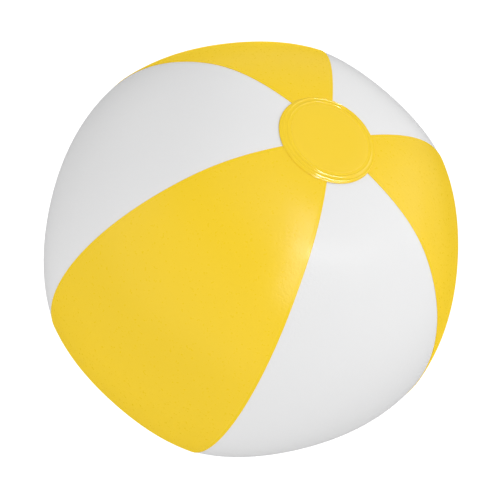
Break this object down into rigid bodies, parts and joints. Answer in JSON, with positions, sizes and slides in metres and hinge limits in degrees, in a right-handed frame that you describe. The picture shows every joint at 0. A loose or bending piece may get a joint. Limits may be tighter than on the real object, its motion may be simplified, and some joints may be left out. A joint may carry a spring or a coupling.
{
  "type": "beach ball",
  "caption": "Inflatable round ball of welded film panels in alternating yellow and white, with flat end discs and a push-in air valve.",
  "frame": {"origin": "centre of the ball", "axes": "+Z along the pole axis through the two end discs, +Y out through the valve, +X out through a seam"},
  "size_m": [0.28, 0.2704, 0.255],
  "materials": {
    "yellow_film": "satin",
    "white_film": "satin",
    "valve_plastic": "gloss"
  },
  "bodies": {
    "ball": {"panel_yellow_1": "yellow_film", "panel_yellow_2": "yellow_film", "panel_yellow_3": "yellow_film", "panel_white_1": "white_film", "panel_white_2": "white_film", "panel_white_3": "white_film", "end_disc_top": "yellow_film", "end_disc_bottom": "yellow_film", "valve_flange": "valve_plastic", "valve_collar": "valve_plastic"},
    "stem": {"valve_stem": "valve_plastic", "plug_strap": "valve_plastic"},
    "plug": {"valve_plug": "valve_plastic"},
    "flap": {"check_flap": "valve_plastic"}
  },
  "joints": [
    {"name": "stem_slide", "type": "slide", "parent": "ball", "child": "stem", "axis": [0, 1, 0], "range_m": [0, 0.0115], "deforming": ["valve_collar"]},
    {"name": "plug_pull", "type": "slide", "parent": "stem", "child": "plug", "axis": [0, 1, 0], "range_m": [0, 0.008], "deforming": ["plug_strap"]},
    {"name": "flap_swing", "type": "hinge", "parent": "stem", "child": "flap", "pos_m": [0, 0.11945, 0.0049], "axis": [-1, 0, 0], "range_deg": [0, 70], "stiffness_Nm_per_rad": 0.0002}
  ]
}
